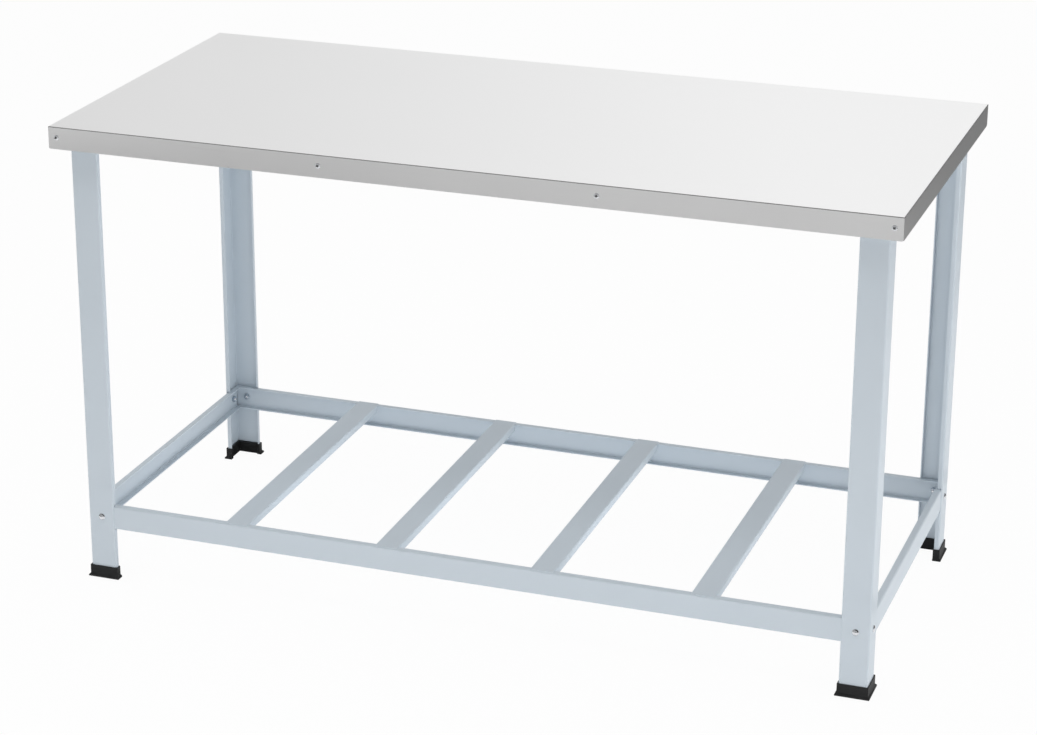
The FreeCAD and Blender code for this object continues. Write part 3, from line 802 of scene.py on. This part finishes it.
bpy.context.scene.world = make_world()
print("world walls:", list(WALL_LIGHT.values()), "overhead:", OVERHEAD_LIGHT)

# %% [markdown]
# ## Cards
# Metal is only as interesting as what it mirrors. In an all-white room it would look flat,
# so a studio hangs cards around the work. Real cards also take light away,
# and have to stay out of the picture. These show in reflections alone, so each can hang where it is needed.

# %% Card finish
CARD_STEPS = 64


def hang(name, shape, level):
    """Make a glowing card that only reflections see; level is a number, or a function of the place on it."""
    sheen = new_finish(name)
    colour = level(sheen, sheen.place()) if callable(level) else grey(level)
    glow = sheen.node("ShaderNodeEmission", {}, {"Color": colour, "Strength": 1.0})
    sheen.node("ShaderNodeOutputMaterial", {}, {"Surface": glow})
    card = new_piece(name, shape, sheen.owner)
    card.visible_camera = False
    card.visible_diffuse = False
    card.visible_transmission = False
    card.visible_shadow = False
    card.visible_volume_scatter = False
    print("hung", name)


def bent_card(radius, foot, head, start=0, sweep=360):
    """A card bent round the table, from a bearing in degrees and on through a sweep."""
    shape = bmesh.new()
    post = [shape.verts.new((radius, 0, height)) for height in (foot, head)]
    edge = shape.edges.new(post)
    bmesh.ops.rotate(shape, verts=post, cent=(0, 0, 0), matrix=Matrix.Rotation(math.radians(start), 3, "Z"))
    bmesh.ops.spin(shape, geom=post + [edge], cent=(0, 0, 0), axis=(0, 0, 1), angle=math.radians(sweep),
                   steps=CARD_STEPS, use_merge=sweep == 360)
    return shape


print("bent cards have", CARD_STEPS, "steps")

# %% [markdown]
# ## Ceiling and wall
# The worktop mirrors the far wall in the photograph's view, and the ceiling when it is seen from higher up.
# One white dome would make it look like paper. Here the ceiling is greyer in front.
# The wall is white behind the table, greyer to the left, and greyest in front,
# so the top passes from grey to white.

# %% Ceiling and wall cards
CEILING_RADIUS, CEILING_HEIGHT, CEILING_PASSAGE = 4.0, 4.2, 0.8
CEILING_FRONT_LEVEL, CEILING_BACK_LEVEL = 0.35, 0.95
WALL_RADIUS, WALL_FOOT = 3.4, 0.9
WALL_LEFT_LEVEL, WALL_LEVEL, WALL_FRONT_LEVEL = 0.705, 0.945, 0.50
WALL_LEFT_END, WALL_LEFT_START = -0.72 * WALL_RADIUS, -0.1 * WALL_RADIUS
WALL_FRONT_END, WALL_BACK_START = -0.45 * WALL_RADIUS, 0.15 * WALL_RADIUS


def ceiling_level(card, spot):
    depth = card.part(spot, "Y")
    return card.fade(depth, -CEILING_PASSAGE, CEILING_PASSAGE, CEILING_FRONT_LEVEL, CEILING_BACK_LEVEL)


def wall_level(card, spot):
    rear = card.fade(card.part(spot, "X"), WALL_LEFT_END, WALL_LEFT_START, WALL_LEFT_LEVEL, WALL_LEVEL)
    behind = card.fade(card.part(spot, "Y"), WALL_FRONT_END, WALL_BACK_START, curve="SMOOTHSTEP")
    return rear * behind + WALL_FRONT_LEVEL * (1 - behind)


disc = bmesh.new()
bmesh.ops.create_circle(disc, cap_ends=True, segments=CARD_STEPS, radius=CEILING_RADIUS)
bmesh.ops.translate(disc, verts=disc.verts, vec=(0, 0, CEILING_HEIGHT))
hang("ceiling_card", disc, ceiling_level)
hang("wall_card", bent_card(WALL_RADIUS, WALL_FOOT, CEILING_HEIGHT), wall_level)

# %% [markdown]
# ## Low rings
# The skirt is upright, so from above it mirrors what stands low around the table.
# A darker floor would give it its tone too, but would also darken the light from below.
# So two grey cards stand on the floor: one in front, darker to the left,
# and one round the right end and the back, darkest behind on the right.

# %% Ring cards
RING_RADIUS = 2.1
FRONT_RING_HEIGHT, FRONT_RING_START, FRONT_RING_SWEEP = 0.45, 130, 203
FRONT_RING_LEFT_LEVEL, FRONT_RING_RIGHT_LEVEL = 0.085, 0.255
FRONT_RING_LEFT, FRONT_RING_RIGHT = -0.6 * RING_RADIUS, -0.15 * RING_RADIUS
BACK_RING_HEIGHT, BACK_RING_START, BACK_RING_SWEEP, BACK_RING_LEVEL = 1.0, -27, 157, 0.45
DARK_SIDE = Vector((0.62, 0.78, 0)).normalized()
DARK_START, DARK_FULL = 0.2, 0.85
DARK_HEIGHT, DARK_HEAD_LEVEL, DARK_FOOT_LEVEL = 0.45, 0.15, 0.29


def front_ring_level(card, spot):
    across = card.part(spot, "X")
    return card.fade(across, FRONT_RING_LEFT, FRONT_RING_RIGHT, FRONT_RING_LEFT_LEVEL, FRONT_RING_RIGHT_LEVEL)


def back_ring_level(card, spot):
    turned = card.toward(card.direction(spot), DARK_SIDE)
    behind = card.fade(turned, DARK_START, DARK_FULL, curve="SMOOTHSTEP")
    dark = card.fade(card.part(spot, "Z"), 0, DARK_HEIGHT, DARK_FOOT_LEVEL, DARK_HEAD_LEVEL)
    return BACK_RING_LEVEL * (1 - behind) + behind * dark


front_ring = bent_card(RING_RADIUS, 0, FRONT_RING_HEIGHT, FRONT_RING_START, FRONT_RING_SWEEP)
back_ring = bent_card(RING_RADIUS, 0, BACK_RING_HEIGHT, BACK_RING_START, BACK_RING_SWEEP)
hang("front_ring_card", front_ring, front_ring_level)
hang("back_ring_card", back_ring, back_ring_level)

# %% [markdown]
# ## Hoods and shades
# A small dark hood beside each bolt head draws the dark arc that makes the dome look round.
# A small dark square on the floor inside each leg is the shade that the shoe's inner faces mirror.
# One large dark card would do both from one side, but it would blacken the top from the others.

# %% Small dark cards
HOOD_RADIUS, HOOD_NEAR, HOOD_FAR = 50 * MM, 13 * MM, 45 * MM
HOOD_START, HOOD_SWEEP = math.radians(5), math.radians(105)
HOOD_STEPS, HOOD_LEVEL = 12, 0.04
SHADE_SIDE, SHADE_HEIGHT, SHADE_LEVEL = 75 * MM, 0.5 * MM, 0.03


def add_hood(shape, place, outward):
    """A small bent card above and to the right of a bolt head."""
    beside = place + UP.cross(outward) * HOOD_RADIUS
    post = [shape.verts.new(beside + outward * reach) for reach in (HOOD_NEAR, HOOD_FAR)]
    edge = shape.edges.new(post)
    bmesh.ops.rotate(shape, verts=post, cent=place, matrix=Matrix.Rotation(HOOD_START, 3, outward))
    bmesh.ops.spin(shape, geom=post + [edge], cent=place, axis=outward, angle=HOOD_SWEEP, steps=HOOD_STEPS)


def add_shade(shape, edge, side_x, side_y):
    """A square just above the floor, from a shoe's outer edge inward."""
    square = bmesh.ops.create_grid(shape, x_segments=1, y_segments=1, size=SHADE_SIDE / 2)["verts"]
    inward = Vector((-side_x, -side_y, 0)) * SHADE_SIDE / 2
    bmesh.ops.translate(shape, verts=square, vec=edge + inward + UP * SHADE_HEIGHT)


hoods = bmesh.new()
for place, inward in frame_spots(0):
    add_hood(hoods, Vector(place), -Vector(inward))
shades = bmesh.new()
for corner, sides in CORNERS.items():
    add_shade(shades, outer_corner("shoe_" + corner, *sides), *sides)
hang("bolt_hoods", hoods, HOOD_LEVEL)
hang("foot_shades", shades, SHADE_LEVEL)

# %% [markdown]
# ## Lamps
# The world alone does not set the sides of a leg far enough apart, so five soft lamps add to it.
# A sun or a spot would draw hard shadows, so these are wide area lamps: low in front, at the right end,
# high in front, high on the left, and a weak bluish one on the floor for what faces down.
# Reflections do not see them, as the cards are there for that.

# %% Lamps
SOFTBOXES = {
    "front_softbox": {"place": (0.1, -1.35, 0.10), "aim": (0, 0, 0.10), "size": (2.4, 0.2), "watts": 3.7},
    "side_softbox": {"place": (2.4, 0, 0.45), "aim": (0.7, 0, 0.4), "size": (1.2, 0.6), "watts": 9.8},
    "high_front_softbox": {"place": (0, -1.25, 2.9), "aim": (0, -0.35, 0.4), "size": (2.4, 0.6),
                           "watts": 9.1},
    "high_left_softbox": {"place": (-1.75, 0, 2.9), "aim": (-0.75, 0, 0.4), "size": (1.0, 1.0),
                          "watts": 8.1},
    "floor_softbox": {"place": (0, -0.05, 0.02), "aim": (0, 0, 1), "size": (1.2, 0.4), "watts": 1.2,
                      "colour": (0.90, 1.0, 1.10)},
}


def softbox(name, place, aim, size, watts, colour=(1, 1, 1)):
    """A wide lamp that neither the camera nor reflections see."""
    lamp = bpy.data.lights.new(name, "AREA")
    lamp.shape = "RECTANGLE"
    lamp.size, lamp.size_y = size
    lamp.energy = watts
    lamp.color = colour
    thing = bpy.data.objects.new(name, lamp)
    thing.location = place
    thing.rotation_euler = (Vector(aim) - Vector(place)).to_track_quat("-Z", "Y").to_euler()
    thing.visible_glossy = False
    thing.visible_camera = False
    bpy.context.scene.collection.objects.link(thing)


for name, settings in SOFTBOXES.items():
    softbox(name, **settings)
print("lamps:", list(SOFTBOXES))

# %% [markdown]
# ## Sizes
# A dressed table has to be as large as the CAD table.
